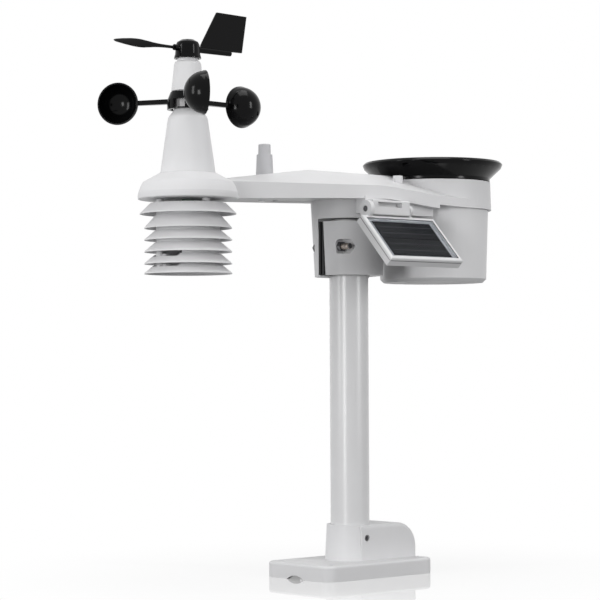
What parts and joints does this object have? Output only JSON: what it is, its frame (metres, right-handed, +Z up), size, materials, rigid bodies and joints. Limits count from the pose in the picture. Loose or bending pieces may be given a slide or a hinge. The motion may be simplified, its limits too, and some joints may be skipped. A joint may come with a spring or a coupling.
{
  "type": "home weather station",
  "caption": "Outdoor sensor array on a short mast: cup rotor, wind vane, louvred shield, rain gauge and tilting solar panel.",
  "frame": {"origin": "pole axis on the floor, under the foot", "axes": "+Z up, +X along the arm to the rain gauge, -Y the front with the solar panel"},
  "size_m": [0.4377, 0.1563, 0.4899],
  "materials": {
    "white_plastic": "satin, faint moulding texture",
    "pole_grey": "light grey paint, satin",
    "grey_plastic": "satin",
    "black_gloss": "polished moulded plastic",
    "black_rubber": "matt",
    "steel": "zinc plated",
    "brassy": "yellow passivated thread",
    "board": "solder mask",
    "cell_jacket": "printed sleeve, no words",
    "solar": "dark silicon under clear cover",
    "clear_cover": "polished clear plastic",
    "magnet": "nickel plated"
  },
  "bodies": {
    "mast": {"mount_base": "white_plastic", "pole_tube": "pole_grey", "pole_lock_screw": "steel", "pole_lock_nut": "steel"},
    "array": {"arm_lower_housing": "white_plastic", "arm_top_cover": "white_plastic", "clamp_half": "white_plastic", "clamp_pads": "black_rubber", "clamp_bolts": "brassy", "clamp_nuts": "steel", "housing_screws": "steel", "antenna_stub": "white_plastic", "bubble_level": "white_plastic", "bubble_level_lens": "clear_cover", "status_lens": "clear_cover", "main_board": "board", "battery_cells": "cell_jacket", "battery_contacts": "steel", "shield_screws": "steel", "louvre_1": "white_plastic", "louvre_2": "white_plastic", "louvre_3": "white_plastic", "louvre_4": "white_plastic", "louvre_5": "white_plastic", "louvre_6": "white_plastic", "sensor_board": "board", "sensor_cap": "grey_plastic", "wind_tower": "white_plastic", "centre_post": "grey_plastic", "wind_board": "board", "vane_housing": "white_plastic", "vane_bearings": "brassy", "rotor_bearing": "steel", "rain_housing": "white_plastic", "tipper_stand": "white_plastic", "rain_board": "board", "panel_bracket": "white_plastic", "panel_hinge_pin": "steel"},
    "door": {"battery_door": "white_plastic", "door_screw": "steel"},
    "reset": {"reset_button": "white_plastic"},
    "rotor": {"rotor_hub": "black_gloss", "rotor_cups": "black_gloss", "rotor_magnet": "magnet"},
    "vane": {"vane_cap": "black_gloss", "vane_boom": "black_gloss", "vane_fin": "black_gloss", "vane_nose": "black_gloss", "vane_shaft": "steel", "vane_magnet": "magnet"},
    "funnel": {"rain_funnel": "black_gloss", "debris_screen": "black_gloss"},
    "tipper": {"tipping_bucket": "grey_plastic", "tipper_axle": "steel", "tipper_magnet": "magnet"},
    "panel": {"panel_frame": "white_plastic", "panel_back": "white_plastic", "panel_window": "clear_cover", "solar_cells": "solar"}
  },
  "joints": [
    {"name": "array_heading", "type": "hinge", "parent": "mast", "child": "array", "pos_m": [0, 0, 0.3], "axis": [0, 0, 1], "continuous": true},
    {"name": "rotor_spin", "type": "hinge", "parent": "array", "child": "rotor", "pos_m": [-0.1857, 0, 0.4112], "axis": [0, 0, 1], "continuous": true},
    {"name": "vane_turn", "type": "hinge", "parent": "array", "child": "vane", "pos_m": [-0.1857, 0, 0.455], "axis": [0, 0, 1], "continuous": true},
    {"name": "panel_tilt", "type": "hinge", "parent": "array", "child": "panel", "pos_m": [0.01, -0.047, 0.325], "axis": [1, 0, 0], "range_deg": [-47, 30]},
    {"name": "bucket_tip", "type": "hinge", "parent": "array", "child": "tipper", "pos_m": [0.1082, 0, 0.305], "axis": [0, 1, 0], "range_deg": [0, 28]},
    {"name": "reset_key", "type": "slide", "parent": "array", "child": "reset", "axis": [0, 0, 1], "range_m": [0, 0.001], "stiffness_N_per_m": 300},
    {"name": "door_off", "type": "slide", "parent": "array", "child": "door", "axis": [0, 0, -1], "range_m": [0, 0.03]},
    {"name": "funnel_lift", "type": "slide", "parent": "array", "child": "funnel", "axis": [0, 0, 1], "range_m": [0, 0.06]}
  ]
}
